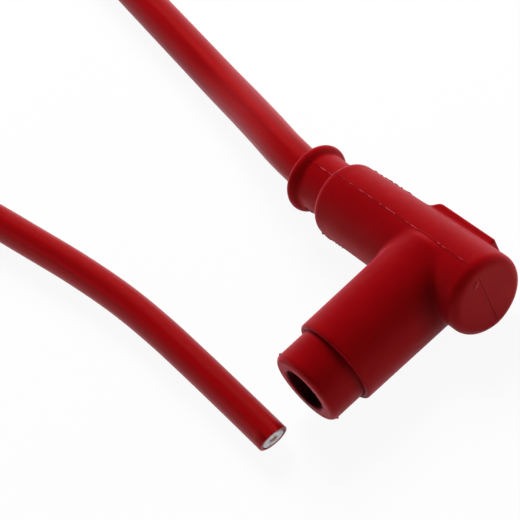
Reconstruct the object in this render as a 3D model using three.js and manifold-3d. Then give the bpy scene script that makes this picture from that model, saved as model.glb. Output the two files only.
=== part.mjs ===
// Right-angle spark plug cap with its high-tension lead, ending in a bare cut.
// Millimetres. The lead leaves the cap towards -X, the plug goes in from -Y and +Z is up.
// The cap lies flat on its side, and z = 0 is the ground under it.
// Sizes and profiles are measured from the elbow, the point where the two axes cross.

import * as THREE from 'three';
import { mergeVertices } from 'three/addons/utils/BufferGeometryUtils.js';
import Module from 'manifold-3d';

const wasm = await Module();
wasm.setup();

// Fits
const CLEARANCE = 0.3;          // between two pieces that touch on the real cap
const LAYER_GAP = 0.2;          // between the layers of the lead

// Lead
const CONDUCTOR_D = 1.8;        // twisted copper strands
const INSULATION_WALL = 1.8;
const JACKET_WALL = 0.8;
const LEAD_CUT_D = 6.2;         // the lead thins evenly from the cap to this at its cut end
const LEAD_SIDES = 12;
const LEAD_STEPS = 40;
const LEAD_LIFT = 0.1;          // the lead lies this far clear of the ground
const CUT_LEAN = 25;            // degrees that the cut end leans out at its top

// Neck and collar of the cap
const NECK_WALL = 1.45;
const NECK_LENGTH = 6.4;        // from the cap's body to the back of the collar
const COLLAR_RISE = 1.1;        // how far the rolled collar stands over the neck
const COLLAR_THICKNESS = 2.6;
const COLLAR_FLARE = 1;         // chamfer at the lead's way in

// Body of the cap, along X
const BODY_FRONT_X = 27.6;      // elbow to the shoulder behind the neck
const BODY_END_X = 12.8;        // elbow to the closed end
const BODY_FRONT_R = 7.5;
const BODY_END_R = 8.15;
const SHOULDER_ROUND = 1.5;
const END_ROUND = 1.5;

// Plug arm of the cap, along -Y
const ARM_LENGTH = 26.6;        // elbow to the arm's lip
const ARM_LIP_WALL = 0.85;
const ARM_TAPER = 0.2;          // the arm is this much wider in radius at the elbow
const ARM_ROOT_ROUND = 1.5;     // where the arm's end comes flush with the body's back
const LIP_ROUND = 0.3;

// Raised bare pad on the back of the cap
const PAD_LENGTH = 15;          // along its flat top
const PAD_END_X = 6.3;          // elbow to its square end
const PAD_WIDTH = 5;
const PAD_RISE = 0.9;           // above the cap's widest body radius
const PAD_DEPTH = 3;            // its sides run this far down, into the body
const PAD_SLOPE_RUN = 2.5;      // length of the slope at its other end, over that depth

// Plug seal, a soft sleeve that stands out of the arm
const SEAL_R = 7.55;
const SEAL_BORE_R = 4.55;
const SEAL_OUT = 7.5;           // length that stands out of the arm's lip
const SEAL_GRIP = 5;            // length that reaches over the hard core
const SEAL_LIP_ROUND = 1.2;
const SEAL_MOUTH_CHAMFER = 0.5;

// Hard insulating core
const CORE_WALL = 1.2;
const CORE_SKIRT = 1.1;         // its plug side reaches this far past the terminal
const CORE_LEAD_SIDE_X = 16;    // elbow to the open end of its lead side
const CORE_WEB_X = 7.2;         // elbow to the stop that the lead meets

// Brass plug terminal
const NUT_R = 3.25;             // the plug's terminal nut, with its clearance
const TERMINAL_WALL = 0.65;
const TERMINAL_LENGTH = 10.2;
const TERMINAL_WEB = 1.8;
const TERMINAL_FLANGE = 1.2;
const TERMINAL_SLOT = 1.2;
const TERMINAL_SLOT_DEPTH = 6.5;
const CLIP_WIRE_D = 0.6;
const CLIP_GROOVE = 0.35;
const CLIP_FROM_MOUTH = 3.4;
const CLIP_OPENING = 70;        // degrees that the spring clip leaves open

// Resistor and its contact parts
const RESISTOR_R = 2.2;
const RESISTOR_LENGTH = 4.6;
const RESISTOR_CAP_WALL = 0.4;
const RESISTOR_CAP_LENGTH = 1.7;
const CUP_WALL = 0.7;
const CUP_TOP_Y = 3.9;          // elbow to the cup's closed end, behind the lead's axis
const CUP_DEPTH = 5.6;
const CUP_CHAMFER = 0.9;
const SPRING_WIRE_D = 0.6;
const SPRING_TURNS = 2.5;
const SPRING_HEIGHT = 2.4;
const SCREW_HEAD_R = 1.6;
const SCREW_HEAD = 0.9;
const SCREW_LENGTH = 8;
const SCREW_POINT = 2;

// Sizes that follow from the ones above
const CONDUCTOR_R = CONDUCTOR_D / 2;
const INSULATION_BORE_R = CONDUCTOR_R + LAYER_GAP;
const INSULATION_R = INSULATION_BORE_R + INSULATION_WALL;
const JACKET_BORE_R = INSULATION_R + LAYER_GAP;
const LEAD_R = JACKET_BORE_R + JACKET_WALL;
const LEAD_BORE_R = LEAD_R + CLEARANCE;
const NECK_R = LEAD_BORE_R + NECK_WALL;
const COLLAR_R = NECK_R + COLLAR_RISE;
const COLLAR_X = BODY_FRONT_X + NECK_LENGTH + COLLAR_THICKNESS;
const LEAD_END_X = CORE_WEB_X + CLEARANCE;
const LEAD_INSIDE = COLLAR_X - LEAD_END_X;
const SEAL_HOLE_R = SEAL_R + CLEARANCE;
const ARM_LIP_R = SEAL_HOLE_R + ARM_LIP_WALL;
const ARM_ROOT_R = ARM_LIP_R + ARM_TAPER;
const PAD_TOP_Y = BODY_END_R + PAD_RISE;
const TERMINAL_R = NUT_R + TERMINAL_WALL;
const CLIP_R = TERMINAL_R - CLIP_GROOVE + CLEARANCE + CLIP_WIRE_D / 2;
const CORE_PLUG_BORE_R = CLIP_R + CLIP_WIRE_D / 2 + CLEARANCE;
const CORE_PLUG_R = CORE_PLUG_BORE_R + CORE_WALL;
const CORE_LEAD_R = LEAD_BORE_R + CORE_WALL;
const CORE_DOME_R = CORE_PLUG_R;
const SEAL_END_Y = ARM_LENGTH + SEAL_OUT;
const RESISTOR_CAP_R = RESISTOR_R + CLEARANCE + RESISTOR_CAP_WALL;
const CUP_BORE_R = RESISTOR_CAP_R + CLEARANCE;
const CUP_R = CUP_BORE_R + CUP_WALL;
const CORE_CUP_BORE_R = CUP_R + CLEARANCE;

// The stack in the core, down from the cup's closed end: spring, resistor, plug terminal
const STACK_TOP_Y = -CUP_TOP_Y + CUP_WALL + CLEARANCE + SPRING_HEIGHT + CLEARANCE;
const ROD_TOP_Y = STACK_TOP_Y + RESISTOR_CAP_WALL + CLEARANCE;
const ROD_END_Y = ROD_TOP_Y + RESISTOR_LENGTH;
const STACK_END_Y = ROD_END_Y + CLEARANCE + RESISTOR_CAP_WALL;
const TERMINAL_TOP_Y = STACK_END_Y + CLEARANCE;
const TERMINAL_END_Y = TERMINAL_TOP_Y + TERMINAL_LENGTH;
const CLIP_Y = TERMINAL_END_Y - CLIP_FROM_MOUTH;
const CORE_SHOULDER_Y = TERMINAL_TOP_Y - CLEARANCE;
const CORE_END_Y = TERMINAL_END_Y + CORE_SKIRT;
const SEAL_TOP_Y = CORE_END_Y - SEAL_GRIP;

const AXIS_HEIGHT = Math.max(ARM_ROOT_R, BODY_END_R, COLLAR_R);

// The lead's free route from the collar: out along -X, across along +Y,
// and the share of its way down from the cap's axis to where it lies on the ground.
// It is cut at the last point but one, and the last is spare length.
const LEAD_ROUTE = [
  [0, 0, 0],
  [9, 1, 0.06],
  [18, 2.8, 0.3],
  [28, 4.8, 0.66],
  [38, 6.6, 0.93],
  [50, 8.6, 1],
  [70, 11.8, 1],
  [92, 15.4, 1],
  [114, 18.8, 1],
  [137, 20.6, 1],
  [160, 17.3, 1],
  [179, 5.4, 1],
  [188, -13.5, 1],
  [186, -34, 1],
  [173, -50.5, 1],
  [152, -58, 1],
  [128, -57.2, 1],
  [104, -52.6, 1],
  [82, -47.8, 1],
  [60, -43.9, 1],
  [39, -41.6, 1],
  [27, -40.5, 1],
  [14, -39.9, 1],
  [2, -40.15, 1],
  [-11, -41, 1],
  [-23, -41.95, 1],
  [-35.4, -43, 1],
  [-39.4, -43.35, 1],
];

// Geometry helpers

function outward(geometry) {
  const p = geometry.getAttribute('position');
  const index = geometry.index.array;
  const [a, b, c] = [new THREE.Vector3(), new THREE.Vector3(), new THREE.Vector3()];
  let volume = 0;
  for (let i = 0; i < index.length; i += 3) {
    a.fromBufferAttribute(p, index[i]);
    b.fromBufferAttribute(p, index[i + 1]);
    c.fromBufferAttribute(p, index[i + 2]);
    volume += a.dot(b.cross(c));
  }
  if (volume < 0) {
    for (let i = 0; i < index.length; i += 3) {
      [index[i], index[i + 1]] = [index[i + 1], index[i]];
    }
  }
  return geometry;
}

function closed(geometry) {
  geometry.deleteAttribute('normal');
  geometry.deleteAttribute('uv');
  return outward(mergeVertices(geometry, 1e-4));
}

function toSolid(geometry) {
  const merged = closed(geometry);
  return new wasm.Manifold(new wasm.Mesh({
    numProp: 3,
    vertProperties: new Float32Array(merged.getAttribute('position').array),
    triVerts: new Uint32Array(merged.index.array),
  }));
}

function fromSolid(solid) {
  const mesh = solid.getMesh();
  const geometry = new THREE.BufferGeometry();
  geometry.setAttribute('position', new THREE.BufferAttribute(mesh.vertProperties, 3));
  geometry.setIndex(new THREE.BufferAttribute(mesh.triVerts, 1));
  return geometry;
}

// A closed profile of [radius, place along the axis] pairs, turned about the plug arm's axis.
// Places are distances from the elbow towards the plug, so a negative one is behind it.
function turnedOnArm(profile, segments = 48) {
  const points = profile.map(([r, along]) => new THREE.Vector2(r, -along));
  if (points[0].x > 0 || points.at(-1).x > 0) points.push(points[0].clone());
  return new THREE.LatheGeometry(points, segments);
}

// The same about the body's axis, with places measured along +X.
function turnedOnBody(profile, segments = 48) {
  const points = profile.map(([r, x]) => new THREE.Vector2(r, x));
  if (points[0].x > 0 || points.at(-1).x > 0) points.push(points[0].clone());
  return new THREE.LatheGeometry(points, segments).rotateZ(-Math.PI / 2);
}

// Points of a quarter round, from angle a to angle b in degrees.
function round(centreR, centreAlong, radius, a, b, steps = 4) {
  return Array.from({ length: steps + 1 }, (_, i) => {
    const angle = THREE.MathUtils.degToRad(a + ((b - a) * i) / steps);
    return [centreR + radius * Math.cos(angle), centreAlong + radius * Math.sin(angle)];
  });
}

function ringShape(outerR, innerR, sides) {
  const shape = new THREE.Shape();
  const corner = (r, i) => {
    const angle = (i / sides) * 2 * Math.PI;
    return [r * Math.cos(angle), r * Math.sin(angle)];
  };
  shape.moveTo(...corner(outerR, 0));
  for (let i = 1; i < sides; i++) shape.lineTo(...corner(outerR, i));
  shape.closePath();
  if (innerR > 0) {
    const hole = new THREE.Path();
    hole.moveTo(...corner(innerR, 0));
    for (let i = 1; i < sides; i++) hole.lineTo(...corner(innerR, sides - i));
    hole.closePath();
    shape.holes.push(hole);
  }
  return shape;
}

function alongPath(shape, path, steps) {
  const geometry = new THREE.ExtrudeGeometry(shape, { steps, extrudePath: path, curveSegments: 1 });
  return closed(geometry);
}

// The cap: one silicone moulding

function capBody() {
  const collarCentre = -COLLAR_X + COLLAR_THICKNESS / 2;
  const collarRound = COLLAR_THICKNESS / 2;
  return toSolid(turnedOnBody([
    [0, -COLLAR_X],
    ...round(COLLAR_R - collarRound, collarCentre, collarRound, -90, 50, 7),
    [NECK_R + COLLAR_RISE * 0.22, -COLLAR_X + COLLAR_THICKNESS * 1.05],
    [NECK_R, -COLLAR_X + COLLAR_THICKNESS * 1.5],
    [NECK_R, -BODY_FRONT_X],
    ...round(BODY_FRONT_R - SHOULDER_ROUND, -BODY_FRONT_X + SHOULDER_ROUND, SHOULDER_ROUND, -90, 0),
    ...round(BODY_END_R - END_ROUND, BODY_END_X - END_ROUND, END_ROUND, 0, 90),
    [0, BODY_END_X],
  ]));
}

function capArm() {
  return toSolid(turnedOnArm([
    [0, 0],
    ...round(ARM_ROOT_R - ARM_ROOT_ROUND, ARM_ROOT_ROUND, ARM_ROOT_ROUND, -90, 0, 3),
    ...round(ARM_LIP_R - LIP_ROUND, ARM_LENGTH - LIP_ROUND, LIP_ROUND, 0, 90, 2),
    [0, ARM_LENGTH],
  ]));
}

function capPad() {
  const start = PAD_END_X - PAD_LENGTH;
  const root = PAD_TOP_Y - PAD_DEPTH;
  const shape = new THREE.Shape();
  shape.moveTo(PAD_END_X, root);
  shape.lineTo(PAD_END_X, PAD_TOP_Y);
  shape.lineTo(start, PAD_TOP_Y);
  shape.lineTo(start - PAD_SLOPE_RUN, root);
  shape.closePath();
  const block = new THREE.ExtrudeGeometry(shape, { depth: PAD_WIDTH, bevelEnabled: false });
  return toSolid(block.translate(0, 0, -PAD_WIDTH / 2));
}

// The hollow that the core, the seal and the lead fill, with the flare at the lead's way in.
function capHollow() {
  const leadWay = toSolid(turnedOnBody([
    [0, -COLLAR_X - 1],
    [LEAD_BORE_R + COLLAR_FLARE + 1, -COLLAR_X - 1],
    [LEAD_BORE_R, -COLLAR_X + COLLAR_FLARE],
    [LEAD_BORE_R, -CORE_LEAD_SIDE_X - CLEARANCE],
    [CORE_LEAD_R + CLEARANCE, -CORE_LEAD_SIDE_X - CLEARANCE],
    [CORE_LEAD_R + CLEARANCE, 0],
    [0, 0],
  ]));
  const plugWay = toSolid(turnedOnArm([
    ...round(0, 0, CORE_DOME_R + CLEARANCE, -90, 0, 8),
    [CORE_PLUG_R + CLEARANCE, SEAL_TOP_Y - CLEARANCE],
    [SEAL_HOLE_R, SEAL_TOP_Y - CLEARANCE],
    [SEAL_HOLE_R, ARM_LENGTH + 1],
    [0, ARM_LENGTH + 1],
  ]));
  return leadWay.add(plugWay);
}

function cap() {
  return fromSolid(capBody().add(capArm()).add(capPad()).subtract(capHollow()));
}

// The plug seal

function plugSeal() {
  return closed(turnedOnArm([
    [SEAL_BORE_R, CORE_END_Y + CLEARANCE],
    [CORE_PLUG_R + CLEARANCE, CORE_END_Y + CLEARANCE],
    [CORE_PLUG_R + CLEARANCE, SEAL_TOP_Y],
    [SEAL_R, SEAL_TOP_Y],
    ...round(SEAL_R - SEAL_LIP_ROUND, SEAL_END_Y - SEAL_LIP_ROUND, SEAL_LIP_ROUND, 0, 90),
    [SEAL_BORE_R + SEAL_MOUTH_CHAMFER, SEAL_END_Y],
    [SEAL_BORE_R, SEAL_END_Y - SEAL_MOUTH_CHAMFER],
  ]));
}

// The hard core: a plug side and a lead side, joined under a dome

function core() {
  const plugSide = toSolid(turnedOnArm([
    ...round(0, 0, CORE_DOME_R, -90, 0, 8),
    [CORE_PLUG_R, CORE_END_Y],
    [0, CORE_END_Y],
  ]));
  const leadSide = toSolid(turnedOnBody([
    [0, -CORE_LEAD_SIDE_X],
    [CORE_LEAD_R, -CORE_LEAD_SIDE_X],
    [CORE_LEAD_R, 0],
    [0, 0],
  ]));
  const leadBore = toSolid(turnedOnBody([
    [0, -CORE_LEAD_SIDE_X - 1],
    [LEAD_BORE_R, -CORE_LEAD_SIDE_X - 1],
    [LEAD_BORE_R, -CORE_WEB_X],
    [SCREW_HEAD_R + CLEARANCE, -CORE_WEB_X],
    [SCREW_HEAD_R + CLEARANCE, 0],
    [0, 0],
  ]));
  const plugBore = toSolid(turnedOnArm([
    [0, -CUP_TOP_Y - CLEARANCE],
    [CORE_CUP_BORE_R - CUP_CHAMFER, -CUP_TOP_Y - CLEARANCE],
    [CORE_CUP_BORE_R, -CUP_TOP_Y - CLEARANCE + CUP_CHAMFER],
    [CORE_CUP_BORE_R, CORE_SHOULDER_Y],
    [CORE_PLUG_BORE_R, CORE_SHOULDER_Y],
    [CORE_PLUG_BORE_R, CORE_END_Y + 1],
    [0, CORE_END_Y + 1],
  ]));
  return fromSolid(plugSide.add(leadSide).subtract(leadBore.add(plugBore)));
}

// Contact parts

function contactCup() {
  const inner = -CUP_TOP_Y + CUP_WALL;
  const open = -CUP_TOP_Y + CUP_DEPTH;
  return closed(turnedOnArm([
    [0, -CUP_TOP_Y],
    [CUP_R - CUP_CHAMFER, -CUP_TOP_Y],
    [CUP_R, -CUP_TOP_Y + CUP_CHAMFER],
    [CUP_R, open],
    [CUP_BORE_R, open],
    [CUP_BORE_R, inner],
    [0, inner],
  ], 32));
}

function leadScrew() {
  const head = -CUP_R - CLEARANCE;
  const shank = head - SCREW_HEAD;
  return closed(turnedOnBody([
    [0, head],
    [SCREW_HEAD_R, head],
    [SCREW_HEAD_R, shank],
    [CONDUCTOR_R, shank],
    [CONDUCTOR_R, shank - SCREW_LENGTH + SCREW_POINT],
    [0, shank - SCREW_LENGTH],
  ], 24));
}

class SpringPath extends THREE.Curve {
  constructor(radius, turns, height, from) {
    super();
    Object.assign(this, { radius, turns, height, from });
  }

  getPoint(t, target = new THREE.Vector3()) {
    const angle = t * this.turns * 2 * Math.PI;
    const along = this.from - t * this.height;
    return target.set(this.radius * Math.sin(angle), along, this.radius * Math.cos(angle));
  }
}

function contactSpring() {
  const wire = ringShape(SPRING_WIRE_D / 2, 0, 6);
  const coilR = CUP_BORE_R - CLEARANCE - SPRING_WIRE_D / 2;
  const from = CUP_TOP_Y - CUP_WALL - CLEARANCE - SPRING_WIRE_D / 2;
  const travel = SPRING_HEIGHT - SPRING_WIRE_D;
  return alongPath(wire, new SpringPath(coilR, SPRING_TURNS, travel, from), 48);
}

function resistorCap(outerFace, direction) {
  const inner = outerFace + direction * RESISTOR_CAP_WALL;
  const rim = outerFace + direction * RESISTOR_CAP_LENGTH;
  return closed(turnedOnArm([
    [0, outerFace],
    [RESISTOR_CAP_R, outerFace],
    [RESISTOR_CAP_R, rim],
    [RESISTOR_R + CLEARANCE, rim],
    [RESISTOR_R + CLEARANCE, inner],
    [0, inner],
  ], 32));
}

function resistorRod() {
  return closed(turnedOnArm([
    [0, ROD_TOP_Y],
    [RESISTOR_R, ROD_TOP_Y],
    [RESISTOR_R, ROD_END_Y],
    [0, ROD_END_Y],
  ], 32));
}

function plugTerminal() {
  const web = TERMINAL_TOP_Y + TERMINAL_WEB;
  const grooveHalf = CLIP_WIRE_D / 2 + CLEARANCE;
  const socket = toSolid(turnedOnArm([
    [0, TERMINAL_TOP_Y],
    [CORE_PLUG_BORE_R - CLEARANCE, TERMINAL_TOP_Y],
    [CORE_PLUG_BORE_R - CLEARANCE, TERMINAL_TOP_Y + TERMINAL_FLANGE],
    [TERMINAL_R, TERMINAL_TOP_Y + TERMINAL_FLANGE],
    [TERMINAL_R, CLIP_Y - grooveHalf],
    [TERMINAL_R - CLIP_GROOVE, CLIP_Y - grooveHalf],
    [TERMINAL_R - CLIP_GROOVE, CLIP_Y + grooveHalf],
    [TERMINAL_R, CLIP_Y + grooveHalf],
    [TERMINAL_R, TERMINAL_END_Y],
    [NUT_R, TERMINAL_END_Y],
    [NUT_R, web],
    [0, web],
  ], 40));
  const slotTop = TERMINAL_END_Y - TERMINAL_SLOT_DEPTH;
  const slot = new THREE.BoxGeometry(TERMINAL_SLOT, TERMINAL_SLOT_DEPTH + 1, 3 * TERMINAL_R);
  const slots = toSolid(slot.translate(0, -(slotTop + (TERMINAL_SLOT_DEPTH + 1) / 2), 0));
  return fromSolid(socket.subtract(slots));
}

class ArcPath extends THREE.Curve {
  constructor(radius, fromDegrees, toDegrees, along) {
    super();
    Object.assign(this, { radius, fromDegrees, toDegrees, along });
  }

  getPoint(t, target = new THREE.Vector3()) {
    const angle = THREE.MathUtils.degToRad(THREE.MathUtils.lerp(this.fromDegrees, this.toDegrees, t));
    return target.set(this.radius * Math.sin(angle), -this.along, this.radius * Math.cos(angle));
  }
}

function terminalClip() {
  const wire = ringShape(CLIP_WIRE_D / 2, 0, 8);
  const half = CLIP_OPENING / 2;
  return alongPath(wire, new ArcPath(CLIP_R, half, 360 - half, CLIP_Y), 24);
}

// The lead: three layers on one path, straight inside the cap and then along its free route

// Thickness of the lead at a share of its way along, as a share of that in the cap.
function thickness(gone) {
  return 1 - (1 - LEAD_CUT_D / (2 * LEAD_R)) * gone;
}

// The free route's points, each at the height at which the lead lies there.
function routePoints() {
  const points = LEAD_ROUTE.map(([out, across]) => new THREE.Vector3(-COLLAR_X - out, across, 0));
  const gone = [LEAD_INSIDE];
  for (let i = 1; i < points.length; i++) gone.push(gone[i - 1] + points[i].distanceTo(points[i - 1]));
  points.forEach((point, i) => {
    const lying = LEAD_R * thickness(gone[i] / gone.at(-1)) + LEAD_LIFT;
    point.z = -LEAD_ROUTE[i][2] * (AXIS_HEIGHT - lying);
  });
  return points;
}

function leadPath() {
  const inside = [LEAD_END_X, LEAD_END_X + LEAD_INSIDE / 3, LEAD_END_X + (2 * LEAD_INSIDE) / 3];
  const points = inside.map((x) => new THREE.Vector3(-x, 0, 0));
  points.push(...routePoints());
  const path = new THREE.CatmullRomCurve3(points, false, 'centripetal');
  path.arcLengthDivisions = 1000;
  return path;
}

// Draws the rings of a sweep in towards the path, the more the nearer they are to the cut end.
function thinned(geometry, path) {
  const centres = path.getSpacedPoints(LEAD_STEPS);
  const position = geometry.getAttribute('position');
  const corner = new THREE.Vector3();
  for (let i = 0; i < position.count; i++) {
    corner.fromBufferAttribute(position, i);
    const away = centres.map((centre) => centre.distanceToSquared(corner));
    const ring = away.indexOf(Math.min(...away));
    corner.lerp(centres[ring], 1 - thickness(ring / LEAD_STEPS));
    position.setXYZ(i, corner.x, corner.y, corner.z);
  }
  return geometry;
}

// One layer, trimmed where the lead is cut.
function leadLayer(outerR, innerR, sides) {
  const path = leadPath();
  const whole = toSolid(thinned(alongPath(ringShape(outerR, innerR, sides), path, LEAD_STEPS), path));
  const [cut, spare] = routePoints().slice(-2);
  const kept = cut.clone().sub(spare).normalize();
  const sideways = new THREE.Vector3(0, 0, 1).cross(kept);
  kept.applyAxisAngle(sideways, -THREE.MathUtils.degToRad(CUT_LEAN));
  return whole.trimByPlane(kept.toArray(), kept.dot(cut));
}

// The screw's point pushes the strands back, so the conductor starts at the point.
function conductor() {
  const screwTip = CUP_R + CLEARANCE + SCREW_HEAD + SCREW_LENGTH;
  const screwWay = toSolid(turnedOnBody([
    [0, 0],
    [INSULATION_BORE_R, 0],
    [INSULATION_BORE_R, -screwTip - CLEARANCE],
    [0, -screwTip - CLEARANCE],
  ]));
  return fromSolid(leadLayer(CONDUCTOR_R, 0, 8).subtract(screwWay));
}

// Materials

const silicone = { color: 0x8f1420, roughness: 0.5, metalness: 0 };
const brass = { color: 0xb8964f, roughness: 0.35, metalness: 1 };
const steel = { color: 0xa9acb0, roughness: 0.3, metalness: 1 };
const MATERIALS = {
  cap_silicone: silicone,
  seal_silicone: { ...silicone, color: 0x8a121d },
  lead_jacket: { color: 0xa30d17, roughness: 0.35, metalness: 0 },
  lead_insulation: { color: 0xe6e2ee, roughness: 0.55, metalness: 0 },
  copper: { color: 0xb87355, roughness: 0.35, metalness: 1 },
  core_resin: { color: 0x1d1a18, roughness: 0.5, metalness: 0 },
  ceramic: { color: 0xd9d2c3, roughness: 0.6, metalness: 0 },
  brass,
  steel,
};

const PIECES = [
  ['cap', cap(), 'cap_silicone'],
  ['plug_seal', plugSeal(), 'seal_silicone'],
  ['core', core(), 'core_resin'],
  ['contact_cup', contactCup(), 'brass'],
  ['lead_screw', leadScrew(), 'brass'],
  ['contact_spring', contactSpring(), 'steel'],
  ['resistor_upper_cap', resistorCap(STACK_TOP_Y, 1), 'brass'],
  ['resistor_rod', resistorRod(), 'ceramic'],
  ['resistor_lower_cap', resistorCap(STACK_END_Y, -1), 'brass'],
  ['plug_terminal', plugTerminal(), 'brass'],
  ['terminal_clip', terminalClip(), 'steel'],
  ['lead_jacket', fromSolid(leadLayer(LEAD_R, JACKET_BORE_R, LEAD_SIDES)), 'lead_jacket'],
  ['lead_insulation', fromSolid(leadLayer(INSULATION_R, INSULATION_BORE_R, LEAD_SIDES)), 'lead_insulation'],
  ['lead_conductor', conductor(), 'copper'],
];

// The frame's origin is on the ground under the middle of the cap with its seal.
const plugWire = new THREE.Group();
plugWire.position.set(
  (COLLAR_X - BODY_END_X) / 2,
  (SEAL_END_Y - PAD_TOP_Y) / 2,
  AXIS_HEIGHT,
);
for (const [name, geometry, material] of PIECES) {
  const mesh = new THREE.Mesh(geometry, new THREE.MeshStandardMaterial(MATERIALS[material]));
  mesh.name = name;
  plugWire.add(mesh);
}

export default plugWire;
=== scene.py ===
# Right-angle spark plug cap with its silicone ignition lead, dressed for the camera.
# Sizes are real ones in millimetres, measured from the elbow, the point where the cap's two axes cross.
# The lead leaves the cap towards -X, the plug goes in from -Y and +Z is up.

import math

import bpy
import numpy as np
from mathutils import Matrix, Vector


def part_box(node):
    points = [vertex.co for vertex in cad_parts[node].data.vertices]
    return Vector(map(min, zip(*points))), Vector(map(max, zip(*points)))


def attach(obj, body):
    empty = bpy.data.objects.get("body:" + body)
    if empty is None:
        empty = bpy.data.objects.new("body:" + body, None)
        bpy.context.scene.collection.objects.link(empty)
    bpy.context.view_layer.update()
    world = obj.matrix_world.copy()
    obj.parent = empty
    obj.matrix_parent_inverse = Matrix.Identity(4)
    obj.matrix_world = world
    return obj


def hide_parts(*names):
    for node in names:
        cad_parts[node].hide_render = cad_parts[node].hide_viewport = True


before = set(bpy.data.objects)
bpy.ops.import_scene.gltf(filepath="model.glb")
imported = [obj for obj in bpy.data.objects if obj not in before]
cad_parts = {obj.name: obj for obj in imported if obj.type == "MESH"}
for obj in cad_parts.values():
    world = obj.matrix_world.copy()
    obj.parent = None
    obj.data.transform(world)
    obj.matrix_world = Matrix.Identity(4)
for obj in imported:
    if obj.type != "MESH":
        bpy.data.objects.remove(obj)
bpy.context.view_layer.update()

MM = 0.001
BODY = "root"               # the part's one body

# The silicone moulding
COLLAR_R = 6.75
COLLAR_X = 36.6
COLLAR_THICKNESS = 2.3
COLLAR_FLARE = 1.0
NECK_R = 5.65
NECK_TUCK = 0.5             # the neck starts this far inside the collar
NECK_ROUND = 0.2
NECK_BLEND = 0.3            # small fillet between the neck and the rolled collar
BODY_FRONT_X = 27.6
BODY_END_X = 12.8
BODY_FRONT_R = 7.5
BODY_END_R = 8.15
HALF_SHIFT = 0.3            # the mould's two halves overlap by this, and so meet in a faint ridge
HALF_GROWTH = 0.18          # what their radius gains for it
BODY_DROOP = 0.25           # the body's front lies this far off the neck's axis, towards the arm's side
SHOULDER_ROUND = 1.6
END_ROUND = 1.9
END_PROUD = 0.2             # the end face stands this far past the part's own size
ARM_LENGTH = 26.6
ARM_ROOT_R = 8.9
ARM_LIP_R = 8.7
ARM_ROOT_ROUND = 1.5
LIP_ROUND = 0.45
ARM_BLEND = 0.4             # fillet between the arm and the body
PAD_TOP_Y = 9.05
PAD_START_X = -8.7
PAD_END_X = 6.3
PAD_HALF_WIDTH = 2.5
PAD_SLOPE = (-3.0, 2.5)     # outward direction of the pad's sloping end, in x and y
PAD_BLEND = 0.25
PAD_EDGE = 0.3

# The hollow of the moulding
LEAD_BORE_R = 4.2
LEAD_SIDE_R = 5.7
LEAD_SIDE_X = 16.3
PLUG_SIDE_R = 6.25
SEAL_HOLE_R = 7.6
SEAL_HOLE_TOP = 12.1
SEAL_HOLE_ROUND = 0.3

# The plug seal
SEAL_R = 7.55
SEAL_BORE_R = 4.55
SEAL_CORE_R = 6.25
SEAL_TOP = 12.4
SEAL_STEP = 17.7
SEAL_END = 34.1
SEAL_LIP_ROUND = 1.2
SEAL_MOUTH_ROUND = 0.5

# The lead
LEAD_R = 3.9
LEAD_CUT_R = 3.1            # the lead thins evenly from the cap to this at its cut end
JACKET_BORE_R = 3.1
INSULATION_R = 2.9
INSULATION_BORE_R = 1.1
LEAD_END_X = 7.5
LEAD_LIFT = 0.1
CUT_LEAN = math.radians(25)
CUT_EDGE = 0.12
LEAD_SPACING = 1.5          # between the rings of its mesh
STRAND_LAYERS = ((1, 0.0), (6, 0.59))   # strands in each layer, and the layer's radius
STRAND_R = 0.29
STRAND_LAY = 24.0           # the strands turn once round in this length
STRANDS_START_X = 13.4      # the screw in the lead pushes them back to here

# The lead's free route from the collar: out along -X, across along +Y,
# and the share of its way down from the cap's axis to where it lies on the ground.
# It is cut at the last point but one, and the last is spare length.
LEAD_ROUTE = [
    (0, 0, 0),
    (9, 1, 0.06),
    (18, 2.8, 0.3),
    (28, 4.8, 0.66),
    (38, 6.6, 0.93),
    (50, 8.6, 1),
    (70, 11.8, 1),
    (92, 15.4, 1),
    (114, 18.8, 1),
    (137, 20.6, 1),
    (160, 17.3, 1),
    (179, 5.4, 1),
    (188, -13.5, 1),
    (186, -34, 1),
    (173, -50.5, 1),
    (152, -58, 1),
    (128, -57.2, 1),
    (104, -52.6, 1),
    (82, -47.8, 1),
    (60, -43.9, 1),
    (39, -41.6, 1),
    (27, -40.5, 1),
    (14, -39.9, 1),
    (2, -40.15, 1),
    (-11, -41, 1),
    (-23, -41.95, 1),
    (-35.4, -43, 1),
    (-39.4, -43.35, 1),
]

# Flash left by the mould: its radius, the length over which that wanders, and its least share of the radius
PARTING_LINE = (0.09, 2.2, 0.7)
TORN_FLASH = (0.15, 0.9, 0.25)
SLIDE_CRUMBS = (0.3, 0.7, 0.0)
SHOULDER_LINE = (0.045, 2.0, 0.3)
END_NICK = (0.22, 3.0, 0.8)
RIM_NUBS = (0.22, 3.0, 0.9)
FLASH_STEP = 0.2            # between the points along it
LINE_START_R = 5.4          # the parting line starts at this radius on the collar's front
LINE_STOP = 1.5             # and stops this far before the end face, where the line across that takes over
FLASH_SHIFT = 0.1           # the torn flash stands on the parting line's back side
# Where torn flash is left along the top of the moulding, from and to in x
TORN_SPANS = (
    (-31.6, -29.9),
    (-29.3, -26.4),
    (-24.4, -23.7),
    (-22.2, -21.2),
    (-20.0, -15.4),
    (-13.6, -12.8),
    (-11.9, -9.2),
    (-6.3, -5.3),
    (-4.9, -2.7),
    (2.5, 3.2),
    (3.8, 4.9),
    (8.3, 9.6),
)
END_NICK_Y = (-0.65, -1.55)
END_NICK_Z = (5.25, 4.5)
END_NICK_POINTS = 8
RIM_NUB_ANGLES = (135, -44)
RIM_NUB_WIDTH = 5           # in degrees
# The mould's slides met this far over the middle of the moulding's side
SLIDE_ANGLE = math.radians(17.6)
# Where they left crumbs, from and to in x, on the back (1) or low on the front (-1)
SLIDE_SPANS = ((-25.4, -14.8, 1), (-27.0, -20.5, -1), (-33.4, -30.6, -1))

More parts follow.
